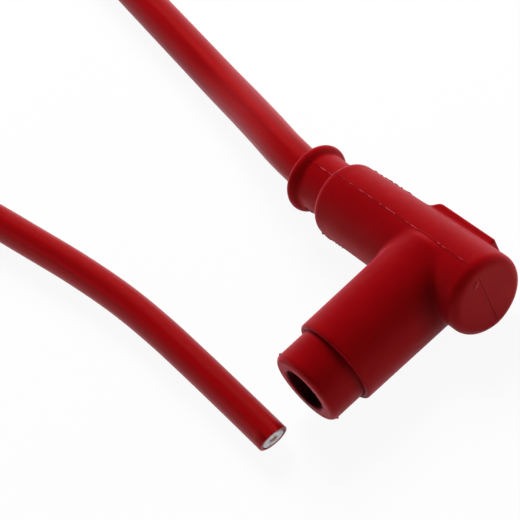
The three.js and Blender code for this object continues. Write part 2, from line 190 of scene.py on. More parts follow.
# The elbow in the frame, from the cap's box
cap_low, cap_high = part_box("cap")
AXIS_HEIGHT = (cap_low.z + cap_high.z) / 2
ELBOW = Vector((cap_high.x - BODY_END_X * MM, cap_high.y - PAD_TOP_Y * MM, AXIS_HEIGHT))


# Meshes


def placed(points):
    """Points in millimetres from the elbow, in the frame's metres."""
    return np.asarray(points, float) * MM + np.array(ELBOW)


def mesh_piece(name, points, faces, smooth_below=30):
    """A mesh object from points in millimetres. Edges sharper than that many degrees stay crisp."""
    mesh = bpy.data.meshes.new(name)
    mesh.from_pydata([tuple(p) for p in placed(points)], [], [tuple(map(int, f)) for f in faces])
    mesh.validate()
    mesh.shade_smooth()
    mesh.set_sharp_from_angle(angle=math.radians(smooth_below))
    piece = bpy.data.objects.new(name, mesh)
    bpy.context.scene.collection.objects.link(piece)
    return piece


def arc(centre_r, centre_along, radius, start, end, steps):
    """Corners of a round in an outline of (radius, place along the axis) pairs, between two angles."""
    angles = np.radians(np.linspace(start, end, steps + 1))
    return [(centre_r + radius * math.cos(a), centre_along + radius * math.sin(a)) for a in angles]


def turned(outline, segments, axis):
    """Points and faces of an outline turned about the lead side's axis or the plug side's axis."""
    points, rings = [], []
    for r, along in outline:
        count = segments if r > 1e-9 else 1
        rings.append(list(range(len(points), len(points) + count)))
        for i in range(count):
            a = 2 * math.pi * i / segments
            u, v = r * math.cos(a), r * math.sin(a)
            points.append((along, u, v) if axis == "body" else (-u, -along, v))
    faces = []
    # An outline that starts on the axis also ends there, and any other one closes on itself
    closing = zip(rings, rings[1:]) if len(rings[0]) == 1 else zip(rings, rings[1:] + rings[:1])
    for near, far in closing:
        for i in range(segments):
            j = (i + 1) % segments
            corners = [near[i % len(near)], near[j % len(near)], far[j % len(far)], far[i % len(far)]]
            corners = list(dict.fromkeys(corners))
            if len(corners) > 2:
                faces.append(corners)
    return np.array(points), faces


def turned_piece(name, outline, segments, axis, smooth_below=30):
    """A closed piece turned from an outline."""
    points, faces = turned(outline, segments, axis)
    piece = mesh_piece(name, points, faces, smooth_below)
    face_outwards(piece)
    return piece


def face_outwards(piece):
    """Turns a closed mesh's faces so that it holds a positive volume."""
    mesh = piece.data
    mesh.calc_loop_triangles()
    co = np.array([v.co for v in mesh.vertices])
    corner = np.array([t.vertices for t in mesh.loop_triangles])
    a, b, c = co[corner[:, 0]], co[corner[:, 1]], co[corner[:, 2]]
    if (a * np.cross(b, c)).sum() < 0:
        mesh.flip_normals()


# The moulding's outer skin, as the distance to a rounded form


def joined(a, b, radius):
    """The nearer of two distances, with a fillet of that radius where the forms meet."""
    overlap = np.maximum(radius * 2 - np.abs(a - b), 0) / (radius * 2)
    return np.minimum(a, b) - overlap**2 * radius / 2


def turned_distance(r, along, span, radii, rounds):
    """Distance to a tapered round bar with rounded ends."""
    (start, end), (r_start, r_end) = span, radii
    share = np.clip((along - start) / (end - start), 0, 1)
    middle = (start + end) / 2
    edge = np.where(along < middle, *rounds)
    side = r - (r_start + (r_end - r_start) * share) + edge
    face = np.abs(along - middle) - (end - start) / 2 + edge
    outside = np.hypot(np.maximum(side, 0), np.maximum(face, 0))
    return outside + np.minimum(np.maximum(side, face), 0) - edge


def pad_distance(x, y, z):
    """Distance to the raised bare pad on the back: a block with one sloping end."""
    slope_x, slope_y = np.array(PAD_SLOPE) / math.hypot(*PAD_SLOPE)
    sides = [
        x - PAD_END_X,
        y - PAD_TOP_Y,
        np.abs(z) - PAD_HALF_WIDTH,
        (x - PAD_START_X) * slope_x + (y - PAD_TOP_Y) * slope_y,
        PAD_HALF_WIDTH - y,
    ]
    distance = sides[0]
    for side in sides[1:]:
        distance = -joined(-distance, -side, PAD_EDGE)
    return distance


def cap_distance(p):
    """Distance in millimetres from the moulding's outer skin, negative inside it."""
    x, y, z = p[..., 0], p[..., 1], p[..., 2]
    # Each half of the mould is round about a line just past the plane between the halves
    half = y + np.sign(y) * HALF_SHIFT
    droop = BODY_DROOP * np.clip(-x / BODY_FRONT_X, 0, 1)
    r = np.hypot(half + droop, z) - HALF_GROWTH
    body = turned_distance(
        r, x, (-BODY_FRONT_X, BODY_END_X + END_PROUD), (BODY_FRONT_R, BODY_END_R),
        (SHOULDER_ROUND, END_ROUND))
    neck = turned_distance(
        np.hypot(half, z) - HALF_GROWTH, x, (NECK_TUCK - COLLAR_X, 0), (NECK_R, NECK_R),
        (NECK_ROUND, NECK_ROUND))
    collar = turned_distance(
        np.hypot(y, z), x, (-COLLAR_X, COLLAR_THICKNESS - COLLAR_X), (COLLAR_R, COLLAR_R),
        (COLLAR_THICKNESS / 2, COLLAR_THICKNESS / 2))
    arm = turned_distance(
        np.hypot(x, z), -y, (0, ARM_LENGTH), (ARM_ROOT_R, ARM_LIP_R), (ARM_ROOT_ROUND, LIP_ROUND))
    skin = joined(np.minimum(body, neck), collar, NECK_BLEND)
    skin = joined(skin, arm, ARM_BLEND)
    return joined(skin, pad_distance(x, y, z), PAD_BLEND)


def slope_of(distance, p, step=0.02):
    """Unit direction in which the distance grows."""
    slope = np.zeros_like(p)
    for axis in range(3):
        shift = np.zeros(3)
        shift[axis] = step
        slope[..., axis] = distance(p + shift) - distance(p - shift)
    return slope / np.maximum(np.linalg.norm(slope, axis=-1, keepdims=True), 1e-9)


def drawn_on(distance, p, times=4):
    """Points moved onto the skin."""
    for _ in range(times):
        p = p - distance(p)[..., None] * slope_of(distance, p)
    return p


def skin_mesh(distance, low, high, cell):
    """Four-sided faces over a skin: one point in each grid cell that the skin passes through."""
    axes = [np.arange(a, b + cell, cell) for a, b in zip(low, high)]
    value = distance(np.stack(np.meshgrid(*axes, indexing="ij"), -1))
    inside = value < 0
    shape = tuple(n - 1 for n in inside.shape)
    # How many of each cell's edges the skin crosses, and the sum of the places where it does
    crossings, total = np.zeros(shape), np.zeros((*shape, 3))
    for axis in range(3):
        for a in (0, 1):
            for b in (0, 1):
                near = [a, b]
                near.insert(axis, 0)
                far = list(near)
                far[axis] = 1
                v0, v1 = (value[tuple(slice(s, s + n) for s, n in zip(c, shape))] for c in (near, far))
                crossed = (v0 < 0) != (v1 < 0)
                share = np.where(crossed, v0 / np.where(crossed, v0 - v1, 1), 0)
                for k in range(3):
                    total[..., k] += np.where(crossed, share if k == axis else near[k], 0)
                crossings += crossed
    used = crossings > 0
    number = -np.ones(shape, int)
    number[used] = np.arange(used.sum())
    cells = np.argwhere(used) + total[used] / crossings[used][:, None]
    points = cells * cell + np.array([a[0] for a in axes])
    faces = []
    # Each grid edge that the skin crosses has a face between the four cells round it
    for axis in range(3):
        first, second = [k for k in range(3) if k != axis]
        edge = np.argwhere(inside != np.roll(inside, -1, axis))
        limit = np.array(shape)
        edge = edge[(edge < limit).all(1) & (edge[:, first] > 0) & (edge[:, second] > 0)]
        ring = []
        for back_first, back_second in ((1, 1), (0, 1), (0, 0), (1, 0)):
            at = edge.copy()
            at[:, first] -= back_first
            at[:, second] -= back_second
            ring.append(number[tuple(at.T)])
        ring = np.stack(ring, 1)
        flip = inside[tuple(edge.T)] ^ (axis == 1)
        ring[~flip] = ring[~flip][:, ::-1]
        faces.append(ring)
    faces = np.concatenate(faces)
    return drawn_on(distance, relaxed(points, faces, distance)), faces


def relaxed(points, faces, distance, times=3):
    """Points evened out along the skin, so that its faces have like sizes."""
    for _ in range(times):
        total, count = np.zeros_like(points), np.zeros(len(points))
        for k in range(4):
            a, b = faces[:, k], faces[:, (k + 1) % 4]
            for here, there in ((a, b), (b, a)):
                np.add.at(total, here, points[there])
                np.add.at(count, here, 1)
        shift = total / count[:, None] - points
        normal = slope_of(distance, points)
        points = points + 0.5 * (shift - (shift * normal).sum(1)[:, None] * normal)
    return points


def cut_away(piece, *tools):
    """Cuts the tools out of a piece, which stays a plain mesh."""
    for tool in tools:
        cut = piece.modifiers.new("hollow", "BOOLEAN")
        cut.operation = "DIFFERENCE"
        cut.solver = "EXACT"
        cut.object = tool
    graph = bpy.context.evaluated_depsgraph_get()
    mesh = bpy.data.meshes.new_from_object(piece.evaluated_get(graph))
    piece.modifiers.clear()
    piece.data = mesh
    for tool in tools:
        bpy.data.objects.remove(tool)
    return piece


CAP_CELL = 0.3
CAP_CREASE = 35             # edges of the moulding sharper than that many degrees stay crisp
OVERSHOOT = 1.0             # the skin's grid and the cutting tools reach this far past the moulding


def make_cap():
    """The moulding: its skin, less the way for the lead and the way for the plug."""
    low = -OVERSHOOT - np.array([COLLAR_X, ARM_LENGTH, ARM_ROOT_R])
    high = OVERSHOOT + np.array([BODY_END_X, PAD_TOP_Y, ARM_ROOT_R])
    points, faces = skin_mesh(cap_distance, low, high, CAP_CELL)
    cap = mesh_piece("cap_moulding", points, faces)
    face_outwards(cap)
    flare_r = LEAD_BORE_R + COLLAR_FLARE
    lead_way = turned_piece("lead_way", [
        (0, -COLLAR_X - OVERSHOOT),
        (flare_r + OVERSHOOT, -COLLAR_X - OVERSHOOT),
        *arc(flare_r, -COLLAR_X + COLLAR_FLARE, COLLAR_FLARE, start=270, end=180, steps=6),
        (LEAD_BORE_R, -LEAD_SIDE_X),
        (LEAD_SIDE_R, -LEAD_SIDE_X),
        (LEAD_SIDE_R, OVERSHOOT),
        (0, OVERSHOOT),
    ], segments=96, axis="body")
    mouth_r = SEAL_HOLE_R + SEAL_HOLE_ROUND
    plug_way = turned_piece("plug_way", [
        (0, -PLUG_SIDE_R),
        *arc(0, 0, PLUG_SIDE_R, start=-85, end=0, steps=16),
        (PLUG_SIDE_R, SEAL_HOLE_TOP),
        (SEAL_HOLE_R, SEAL_HOLE_TOP),
        *arc(mouth_r, ARM_LENGTH - SEAL_HOLE_ROUND, SEAL_HOLE_ROUND, start=180, end=90, steps=4),
        (mouth_r, ARM_LENGTH + OVERSHOOT),
        (0, ARM_LENGTH + OVERSHOOT),
    ], segments=128, axis="arm")
    cut_away(cap, lead_way, plug_way)
    cap.data.shade_smooth()
    cap.data.set_sharp_from_angle(angle=math.radians(CAP_CREASE))
    return cap


def make_seal():
    """The soft sleeve that grips the plug, with its stepped bore and a rounded rim."""
    rim_r = SEAL_R - SEAL_LIP_ROUND
    mouth_r = SEAL_BORE_R + SEAL_MOUTH_ROUND
    return turned_piece("seal_sleeve", [
        (SEAL_BORE_R, SEAL_STEP),
        (SEAL_CORE_R, SEAL_STEP),
        (SEAL_CORE_R, SEAL_TOP),
        (SEAL_R, SEAL_TOP),
        (SEAL_R, (SEAL_TOP + SEAL_END) / 2),
        *arc(rim_r, SEAL_END - SEAL_LIP_ROUND, SEAL_LIP_ROUND, start=0, end=90, steps=16),
        *arc(mouth_r, SEAL_END - SEAL_MOUTH_ROUND, SEAL_MOUTH_ROUND, start=90, end=180, steps=8),
    ], segments=160, axis="arm", smooth_below=40)


# The lead

# The attribute that holds each point's place on the lead if it lay straight, in metres
STRAIGHT = "straight"
CURVE_STEPS = 40            # between two points of the lead's route


def thickness(gone):
    """Thickness of the lead at a share of its way along, as a share of that in the cap."""
    return 1 - (1 - LEAD_CUT_R / LEAD_R) * gone


def lead_line(spacing):
    """The lead's centreline in millimetres, evenly spaced, up to its cut end, and its thickness there."""
    inside = COLLAR_X - LEAD_END_X
    knots = np.array([(-COLLAR_X - out, across, 0) for out, across, drop in LEAD_ROUTE], float)
    gone = inside + np.concatenate([[0], np.cumsum(np.linalg.norm(np.diff(knots, axis=0), axis=1))])
    lying = LEAD_R * thickness(gone / gone[-1]) + LEAD_LIFT
    knots[:, 2] = -np.array(LEAD_ROUTE)[:, 2] * (AXIS_HEIGHT / MM - lying)
    # Three knots inside the cap come first, and then one more past each end to steer the curve there
    knots = np.vstack([[(-LEAD_END_X - inside * k / 3, 0, 0) for k in range(3)], knots])
    knots = np.vstack([2 * knots[0] - knots[1], knots, 2 * knots[-1] - knots[-2]])
    line = []
    for a, b, c, d in zip(knots, knots[1:], knots[2:], knots[3:]):
        before, here, after = (math.sqrt(np.linalg.norm(q - p)) for p, q in ((a, b), (b, c), (c, d)))
        leave = ((b - a) / before - (c - a) / (before + here) + (c - b) / here) * here
        arrive = ((c - b) / here - (d - b) / (here + after) + (d - c) / after) * here
        t = np.linspace(0, 1, CURVE_STEPS, endpoint=False)[:, None]
        bend = -3 * b + 3 * c - 2 * leave - arrive
        turn = 2 * b - 2 * c + leave + arrive
        line.append(b + leave * t + bend * t**2 + turn * t**3)
    line = np.vstack(line[:-1] + [knots[-3][None]])
    along = np.concatenate([[0], np.cumsum(np.linalg.norm(np.diff(line, axis=0), axis=1))])
    even = np.linspace(0, along[-1], int(along[-1] / spacing) + 1)
    return np.stack([np.interp(even, along, line[:, k]) for k in range(3)], 1), thickness(even / gone[-1])


def frames_along(course):
    """Tangent and two sideways directions at each point, which turn no more than the course does."""
    tangent = np.gradient(course, axis=0)
    tangent /= np.linalg.norm(tangent, axis=1)[:, None]
    sideways = np.zeros_like(tangent)
    side = np.array([0.0, 0.0, 1.0])
    for i, t in enumerate(tangent):
        side = side - (side @ t) * t
        side /= np.linalg.norm(side)
        sideways[i] = side
    return tangent, sideways, np.cross(tangent, sideways)


line, thick = lead_line(LEAD_SPACING)


def cut_face(points):
    """Points beside the lead's last one, moved along it onto its leaning cut."""
    direction = line[-1] - line[-2]
    direction /= np.linalg.norm(direction)
    height = points[:, 2] - line[-1][2]
    return points + np.outer(height * math.tan(CUT_LEAN), direction)


def layer_piece(name, outer_r, inner_r, edge_r, sides):
    """One layer of the lead: a tube with a wall, its cut edges rounded a little."""
    tangent, up, across = frames_along(line)
    angles = np.linspace(0, 2 * math.pi, sides, endpoint=False)
    last = len(line) - 1
    # Out along the outside, over the cut face and back along the inside
    cut = [(outer_r, edge_r), (outer_r - edge_r, 0), (inner_r + edge_r, 0), (inner_r, edge_r)]
    loops = [(i, outer_r, 0) for i in range(last)]
    loops += [(last, r, back) for r, back in cut]
    loops += [(i, inner_r, 0) for i in reversed(range(last))]
    points, straight, faces = [], [], []
    for i, r, back in loops:
        gone = np.full(sides, i * np.linalg.norm(line[1] - line[0]))
        straight.append(np.stack([r * np.cos(angles), r * np.sin(angles), gone], 1) * MM)
        sideways = np.outer(np.cos(angles), up[i]) + np.outer(np.sin(angles), across[i])
        ring = line[i] + thick[i] * r * sideways
        points.append(cut_face(ring) - back * tangent[i] if i == last else ring)
    for k in range(len(loops)):
        m = (k + 1) % len(loops)
        for i in range(sides):
            j = (i + 1) % sides
            faces.append((k * sides + i, k * sides + j, m * sides + j, m * sides + i))
    piece = mesh_piece(name, np.vstack(points), faces, smooth_below=50)
    drawn = piece.data.attributes.new(STRAIGHT, "FLOAT_VECTOR", "POINT")
    drawn.data.foreach_set("vector", np.vstack(straight).ravel())
    face_outwards(piece)
    return piece


# Geometry Nodes


def add_node(tree, kind, inputs=None, links=None, **settings):
    """Adds a node with its settings, its sockets' values and the sockets linked into it."""
    node = tree.nodes.new(kind)
    for name, value in settings.items():
        setattr(node, name, value)
    for socket, value in (inputs or {}).items():
        node.inputs[socket].default_value = value
    for socket, source in (links or {}).items():
        tree.links.new(source, node.inputs[socket])
    return node


BEAD_SIDES = 8              # of a strand and of a bead of flash
WANDER_LOW, WANDER_HIGH = 0.36, 0.66    # the stretch of the noise that moves the flash's thickness


def new_tree(name, labels):
    """A geometry tree with a Geometry socket and named number inputs."""
    tree = bpy.data.node_groups.new(name, "GeometryNodeTree")
    tree.interface.new_socket("Geometry", in_out="INPUT", socket_type="NodeSocketGeometry")
    tree.interface.new_socket("Geometry", in_out="OUTPUT", socket_type="NodeSocketGeometry")
    for label in labels:
        tree.interface.new_socket(label, in_out="INPUT", socket_type="NodeSocketFloat")
    return tree, add_node(tree, "NodeGroupInput").outputs


def close_tree(tree, mesh, material):
    """Ends a tree in real meshes with their material on."""
    real = add_node(tree, "GeometryNodeRealizeInstances", links={"Geometry": mesh})
    dressed = add_node(tree, "GeometryNodeSetMaterial", {"Material": material}, {
        "Geometry": real.outputs["Geometry"]})
    add_node(tree, "NodeGroupOutput", links={"Geometry": dressed.outputs["Geometry"]})


def line_object(name, lines, radii=1.0):
    """A curve object with one straight-jointed spline for each list of points in millimetres."""
    curve = bpy.data.curves.new(name, "CURVE")
    curve.dimensions = "3D"
    for points in lines:
        spline = curve.splines.new("POLY")
        spline.points.add(len(points) - 1)
        at = placed(points)
        spline.points.foreach_set("co", np.column_stack([at, np.ones(len(at))]).ravel())
        spline.points.foreach_set("radius", np.ones(len(at)) * radii)
    source = bpy.data.objects.new(name, curve)
    bpy.context.scene.collection.objects.link(source)
    return source


def piece_from_tree(name, source, tree, sizes, material, smooth_below=40):
    """Runs a geometry tree on a line and keeps its result as a plain mesh piece."""
    modifier = source.modifiers.new("tree", "NODES")
    modifier.node_group = tree
    sockets = {s.name: s.identifier for s in tree.interface.items_tree if s.in_out == "INPUT"}
    for label, value in sizes.items():
        modifier[sockets[label]] = value
    graph = bpy.context.evaluated_depsgraph_get()
    mesh = bpy.data.meshes.new_from_object(source.evaluated_get(graph), depsgraph=graph)
    bpy.data.objects.remove(source)
    mesh.name = name
    mesh.shade_smooth()
    mesh.set_sharp_from_angle(angle=math.radians(smooth_below))
    mesh.materials.clear()
    mesh.materials.append(material)
    piece = bpy.data.objects.new(name, mesh)
    bpy.context.scene.collection.objects.link(piece)
    return piece


def strand_tree(material):
    """Each line of the source becomes one round strand of copper."""
    tree, given = new_tree("strands", ("Strand radius",))
    profile = add_node(tree, "GeometryNodeCurvePrimitiveCircle", {"Resolution": BEAD_SIDES}, {
        "Radius": given["Strand radius"]})
    thickness_here = add_node(tree, "GeometryNodeInputRadius")
    swept = add_node(tree, "GeometryNodeCurveToMesh", {"Fill Caps": True}, {
        "Curve": given["Geometry"], "Profile Curve": profile.outputs["Curve"],
        "Scale": thickness_here.outputs["Radius"]})
    close_tree(tree, swept.outputs["Mesh"], material)
    return tree


def flash_tree(material):
    """A bead of flash along each line. Its thickness wanders down to its least share, which may be none."""
    tree, given = new_tree("flash", ("Radius", "Step", "Tear length", "Least"))
    spaced = add_node(tree, "GeometryNodeResampleCurve", links={
        "Curve": given["Geometry"], "Length": given["Step"]}, mode="LENGTH")
    place = add_node(tree, "GeometryNodeInputPosition")
    per_metre = add_node(tree, "ShaderNodeMath", {0: 1.0}, {1: given["Tear length"]}, operation="DIVIDE")
    torn = add_node(tree, "ShaderNodeTexNoise", {"Detail": 3.0, "Roughness": 0.6}, {
        "Vector": place.outputs["Position"], "Scale": per_metre.outputs[0]})
    size = add_node(tree, "ShaderNodeMapRange", {1: WANDER_LOW, 2: WANDER_HIGH, 4: 1.0}, {
        0: torn.outputs["Fac"], 3: given["Least"]})
    radius = add_node(tree, "ShaderNodeMath", links={
        0: size.outputs["Result"], 1: given["Radius"]}, operation="MULTIPLY")
    profile = add_node(tree, "GeometryNodeCurvePrimitiveCircle", {"Resolution": BEAD_SIDES, "Radius": 1.0})
    swept = add_node(tree, "GeometryNodeCurveToMesh", {"Fill Caps": True}, {
        "Curve": spaced.outputs["Curve"], "Profile Curve": profile.outputs["Curve"],
        "Scale": radius.outputs[0]})
    close_tree(tree, swept.outputs["Mesh"], material)
    return tree


# Materials

NOISE_LOW, NOISE_HIGH = 0.3, 0.7        # nearly all of a noise lies between these
SILICONE_IOR = 1.41
BLOOM = "#ff7490"           # tint of the faint bloom on red silicone
MOULD_GRAIN = 0.22          # the real grain is about 0.05 mm, and is drawn this coarse to show
TORN_GRAIN = 0.4            # rubber that tore, or was pressed out of the mould, is rougher
STREAK_SHARE = 0.02         # the jacket's streaks are this share as wide as they are long
BORE_SHADE_EDGE = (0.05, 0.25)  # the painted shade in the seal's bore fades out this far past the bore's radius
BORE_SHADE_KEEPS = 0.2               # share of its colour that the rubber keeps under the painted shade in its bore


def linear(colour):
    """An sRGB hex colour as linear RGBA."""
    channels = [int(colour[i:i + 2], 16) / 255 for i in (1, 3, 5)]
    return (*[c / 12.92 if c <= 0.04045 else ((c + 0.055) / 1.055) ** 2.4 for c in channels], 1.0)


def new_material(name, constants):
    """A material and its shader, which has its own constants set."""
    material = bpy.data.materials.new(name)
    material.use_nodes = True
    tree = material.node_tree
    tree.nodes.clear()
    shader = add_node(tree, "ShaderNodeBsdfPrincipled", constants)
    add_node(tree, "ShaderNodeOutputMaterial", links={"Surface": shader.outputs["BSDF"]})
    return material, tree, shader


def finish_surface(tree, shader, colours, clouds, shine, wear, relief, grain, place=None):
    """Gives a surface its colour, shine and relief, each from a pattern of noise.

    Clouds mix its dark and its light colour, wear runs its roughness between two values,
    and grain is its relief, which has a strength and a depth in millimetres.
    Each pattern is the size of its spots in millimetres, its detail and its roughness.
    The patterns lie on Object coordinates if no place is given.
    """
    if place is None:
        place = add_node(tree, "ShaderNodeTexCoord").outputs["Object"]
    cloudy, worn, grained = (
        add_node(tree, "ShaderNodeTexNoise", {
            "Scale": 1 / (size_mm * MM), "Detail": detail, "Roughness": roughness}, {"Vector": place})
        for size_mm, detail, roughness in (clouds, wear, grain))
    share = add_node(tree, "ShaderNodeMapRange", {1: NOISE_LOW, 2: NOISE_HIGH}, {0: cloudy.outputs["Fac"]})
    colour = add_node(tree, "ShaderNodeMix", {6: linear(colours[0]), 7: linear(colours[1])}, {
        0: share.outputs["Result"]}, data_type="RGBA")
    rough = add_node(tree, "ShaderNodeMapRange", {1: NOISE_LOW, 2: NOISE_HIGH, 3: shine[0], 4: shine[1]}, {
        0: worn.outputs["Fac"]})
    bump = add_node(tree, "ShaderNodeBump", {"Strength": relief[0], "Distance": relief[1] * MM}, {
        "Height": grained.outputs["Fac"]})
    tree.links.new(colour.outputs[2], shader.inputs["Base Color"])
    tree.links.new(rough.outputs["Result"], shader.inputs["Roughness"])
    tree.links.new(bump.outputs["Normal"], shader.inputs["Normal"])


def red_silicone(name, bloom_spread):
    """Red silicone rubber: little gloss, and a faint bloom that lightens it towards its outline."""
    return new_material(name, {
        "IOR": SILICONE_IOR, "Specular IOR Level": 0.1, "Sheen Weight": 0.7,
        "Sheen Roughness": bloom_spread, "Sheen Tint": linear(BLOOM)})


def moulded_silicone(name, colours, shine, grain_mm):
    """Silicone moulded in a spark-eroded tool: satin, with the tool's grain and a faint cloudiness."""
    material, tree, shader = red_silicone(name, bloom_spread=0.33)
    finish_surface(
        tree, shader, colours, clouds=(5.0, 3.0, 0.5), shine=shine, wear=(1.6, 4.0, 0.5),
        relief=(0.25, 0.02), grain=(grain_mm, 3.0, 0.6))
    return material


def drawn_jacket():
    """The lead's extruded silicone: glossier than the moulding, with faint streaks along it from the die."""
    material, tree, shader = red_silicone("jacket_silicone_rubber", bloom_spread=0.36)
    straight = add_node(tree, "ShaderNodeAttribute", attribute_name=STRAIGHT)
    streaked = add_node(tree, "ShaderNodeVectorMath", {1: (1, 1, STREAK_SHARE)}, {
        0: straight.outputs["Vector"]}, operation="MULTIPLY")
    finish_surface(
        tree, shader, ("#880103", "#a00204"), clouds=(1.1, 3.0, 0.5), shine=(0.36, 0.24),
        wear=(1.1, 3.0, 0.5), relief=(0.3, 0.03), grain=(0.5, 2.0, 0.5), place=streaked.outputs[0])
    return material


def cured_insulation():
    """White silicone insulation: matte and slightly cool, smeared by the cut."""
    material, tree, shader = new_material("white_silicone", {"IOR": SILICONE_IOR})
    finish_surface(
        tree, shader, ("#f0edf8", "#fbf9ff"), clouds=(0.5, 3.0, 0.5), shine=(0.45, 0.6),
        wear=(0.3, 2.0, 0.5), relief=(0.5, 0.06), grain=(0.25, 4.0, 0.7))
    return material


def bare_metal(name, colours, shine, marks_mm):
    """Bare metal with a little tarnish and fine tool marks."""
    material, tree, shader = new_material(name, {"Metallic": 1.0})
    finish_surface(
        tree, shader, colours, clouds=(1.2, 4.0, 0.5), shine=shine, wear=(0.6, 3.0, 0.5),
        relief=(0.3, 0.01), grain=(marks_mm, 2.0, 0.5))
    return material


def dull_insulator(name, colours, shine, grain_mm):
    """Filled resin or unglazed ceramic: hard, dull and finely grained."""
    material, tree, shader = new_material(name, {"IOR": 1.5})
    finish_surface(
        tree, shader, colours, clouds=(0.8, 5.0, 0.6), shine=shine, wear=(0.5, 2.0, 0.5),
        relief=(0.3, 0.02), grain=(grain_mm, 3.0, 0.5))
    return material


def paint_bore_shade(material):
    """Paints shade into the seal's bore: the rubber's colour darkens inside it, where little light reaches.
    """
    tree = material.node_tree
    shader = next(node for node in tree.nodes if node.type == "BSDF_PRINCIPLED")
    colour = shader.inputs["Base Color"].links[0].from_socket
    place = add_node(tree, "ShaderNodeTexCoord").outputs["Object"]
    offset = add_node(tree, "ShaderNodeVectorMath", {1: ELBOW}, {0: place}, operation="SUBTRACT")
    across = add_node(tree, "ShaderNodeVectorMath", {1: (1, 0, 1)}, {
        0: offset.outputs[0]}, operation="MULTIPLY")
    radius = add_node(tree, "ShaderNodeVectorMath", links={0: across.outputs[0]}, operation="LENGTH")
    inner, outer = ((SEAL_BORE_R + past) * MM for past in BORE_SHADE_EDGE)
    share = add_node(tree, "ShaderNodeMapRange", {1: inner, 2: outer, 3: BORE_SHADE_KEEPS, 4: 1.0}, {
        0: radius.outputs["Value"]})
    darker = add_node(tree, "ShaderNodeVectorMath", links={
        0: colour, "Scale": share.outputs["Result"]}, operation="SCALE")
    tree.links.new(darker.outputs[0], shader.inputs["Base Color"])


# Moulded red silicone: satin and even, its colour a little cloudy from the mixing mill
cap_rubber = moulded_silicone("cap_silicone_rubber", ("#900308", "#98050b"), (0.42, 0.52), MOULD_GRAIN)
# The same rubber from another batch, a shade deeper, with painted shade darkening its bore
seal_rubber = moulded_silicone("seal_silicone_rubber", ("#8e0308", "#96050b"), (0.42, 0.52), MOULD_GRAIN)
paint_bore_shade(seal_rubber)
# Silicone pressed into the mould's joint: its thin ridge is coloured darker than the skin, as painted shade
# for the ridge's own shadow
painted_shade_rubber = moulded_silicone("parting_line_painted_shade", ("#74060e", "#7e0812"), (0.5, 0.6), TORN_GRAIN)
# Silicone torn along the mould's joint, with a rough face; its paler colour is a painted highlight for the
# glints it catches
painted_glint_rubber = moulded_silicone("torn_silicone_painted_highlight", ("#b83844", "#c84854"), (0.4, 0.5), TORN_GRAIN)
# Extruded red silicone: the brightest and glossiest of the reds
jacket_rubber = drawn_jacket()
# White silicone under it, cut with a blade: chalky at the face
white_rubber = cured_insulation()
# Drawn copper wire, bare and browned by air: a soft pinkish brown
copper_wire = bare_metal("copper_wire", ("#6c5040", "#967058"), (0.35, 0.55), 0.1)
# Brass turned on a lathe: warm yellow with a soft shine
brass_turned = bare_metal("turned_brass", ("#a5853f", "#c2a35a"), (0.25, 0.4), 0.08)
# Spring steel drawn to wire: neutral grey, brighter than the brass
steel_wire = bare_metal("spring_steel_wire", ("#8d9094", "#b4b7bb"), (0.22, 0.36), 0.08)
# Glass-filled resin, moulded: nearly black and dull
resin = dull_insulator("glass_filled_resin", ("#14110f", "#231f1b"), (0.45, 0.6), 0.15)
# Fired ceramic without a glaze: off-white and chalky
fired_ceramic = dull_insulator("fired_ceramic", ("#cfc6b4", "#e0d9ca"), (0.55, 0.7), 0.12)


def dress(piece, material):
    """Gives a piece one material."""
    piece.data.materials.clear()
    piece.data.materials.append(material)


# Pieces

jacket = layer_piece("lead_silicone_jacket", LEAD_R, JACKET_BORE_R, CUT_EDGE, sides=48)
insulation = layer_piece("lead_white_insulation", INSULATION_R, INSULATION_BORE_R, CUT_EDGE / 2, sides=40)
dress(jacket, jacket_rubber)
dress(insulation, white_rubber)


def strand_lines():
    """The strands' centrelines: layers of turns about the lead's own line, cut off with it."""
    start = np.argmax(line[:, 0] < -STRANDS_START_X)
    inner = line[start:]
    tangent, up, across = frames_along(inner)
    along = np.concatenate([[0], np.cumsum(np.linalg.norm(np.diff(inner, axis=0), axis=1))])
    lines = []
    for count, radius in STRAND_LAYERS:
        for k in range(count):
            turn = (2 * math.pi * (k / count + along / STRAND_LAY))[:, None]
            strand = inner + radius * thick[start:, None] * (np.cos(turn) * up + np.sin(turn) * across)
            strand[-1:] = cut_face(strand[-1:])
            lines.append(strand)
    return lines, thick[start:]


conductor = piece_from_tree(
    "lead_copper_strands", line_object("strands", *strand_lines()), strand_tree(copper_wire),
    {"Strand radius": STRAND_R * MM}, copper_wire)

cap = make_cap()
seal = make_seal()
dress(cap, cap_rubber)
dress(seal, seal_rubber)


def on_skin(x, y, z):
    """A line in millimetres, drawn onto the moulding's skin."""
    return drawn_on(cap_distance, np.stack(np.broadcast_arrays(x, y, z), -1).astype(float))


def mould_line(side):
    """The parting line on the skin, from the collar over the neck and body to the rounded end."""
    # Near the skin is enough here, because the line is drawn onto it
    rough = np.array([
        (-COLLAR_X, LINE_START_R),
        (-COLLAR_X, COLLAR_R),
        (-COLLAR_X + COLLAR_THICKNESS, COLLAR_R),
        (-COLLAR_X + COLLAR_THICKNESS + 0.4, NECK_R),
        (-BODY_FRONT_X, NECK_R + 0.1),
        (-BODY_FRONT_X, BODY_FRONT_R - 0.5),
        (-BODY_FRONT_X + 1, BODY_FRONT_R),
        (BODY_END_X - LINE_STOP, BODY_END_R),
    ])
    along = np.concatenate([[0], np.cumsum(np.linalg.norm(np.diff(rough, axis=0), axis=1))])
    even = np.arange(0, along[-1], FLASH_STEP)
    return on_skin(np.interp(even, along, rough[:, 0]), 0, side * np.interp(even, along, rough[:, 1]))


def end_line():
    """The parting line across the end face."""
    across = np.arange(END_ROUND - BODY_END_R, BODY_END_R - END_ROUND, FLASH_STEP)
    return on_skin(BODY_END_X, 0, across)


def skin_radius(x):
    """Radius of the neck or the body at x."""
    share = (x + BODY_FRONT_X) / (BODY_END_X + BODY_FRONT_X)
    return np.where(x < -BODY_FRONT_X, NECK_R, BODY_FRONT_R + (BODY_END_R - BODY_FRONT_R) * share)


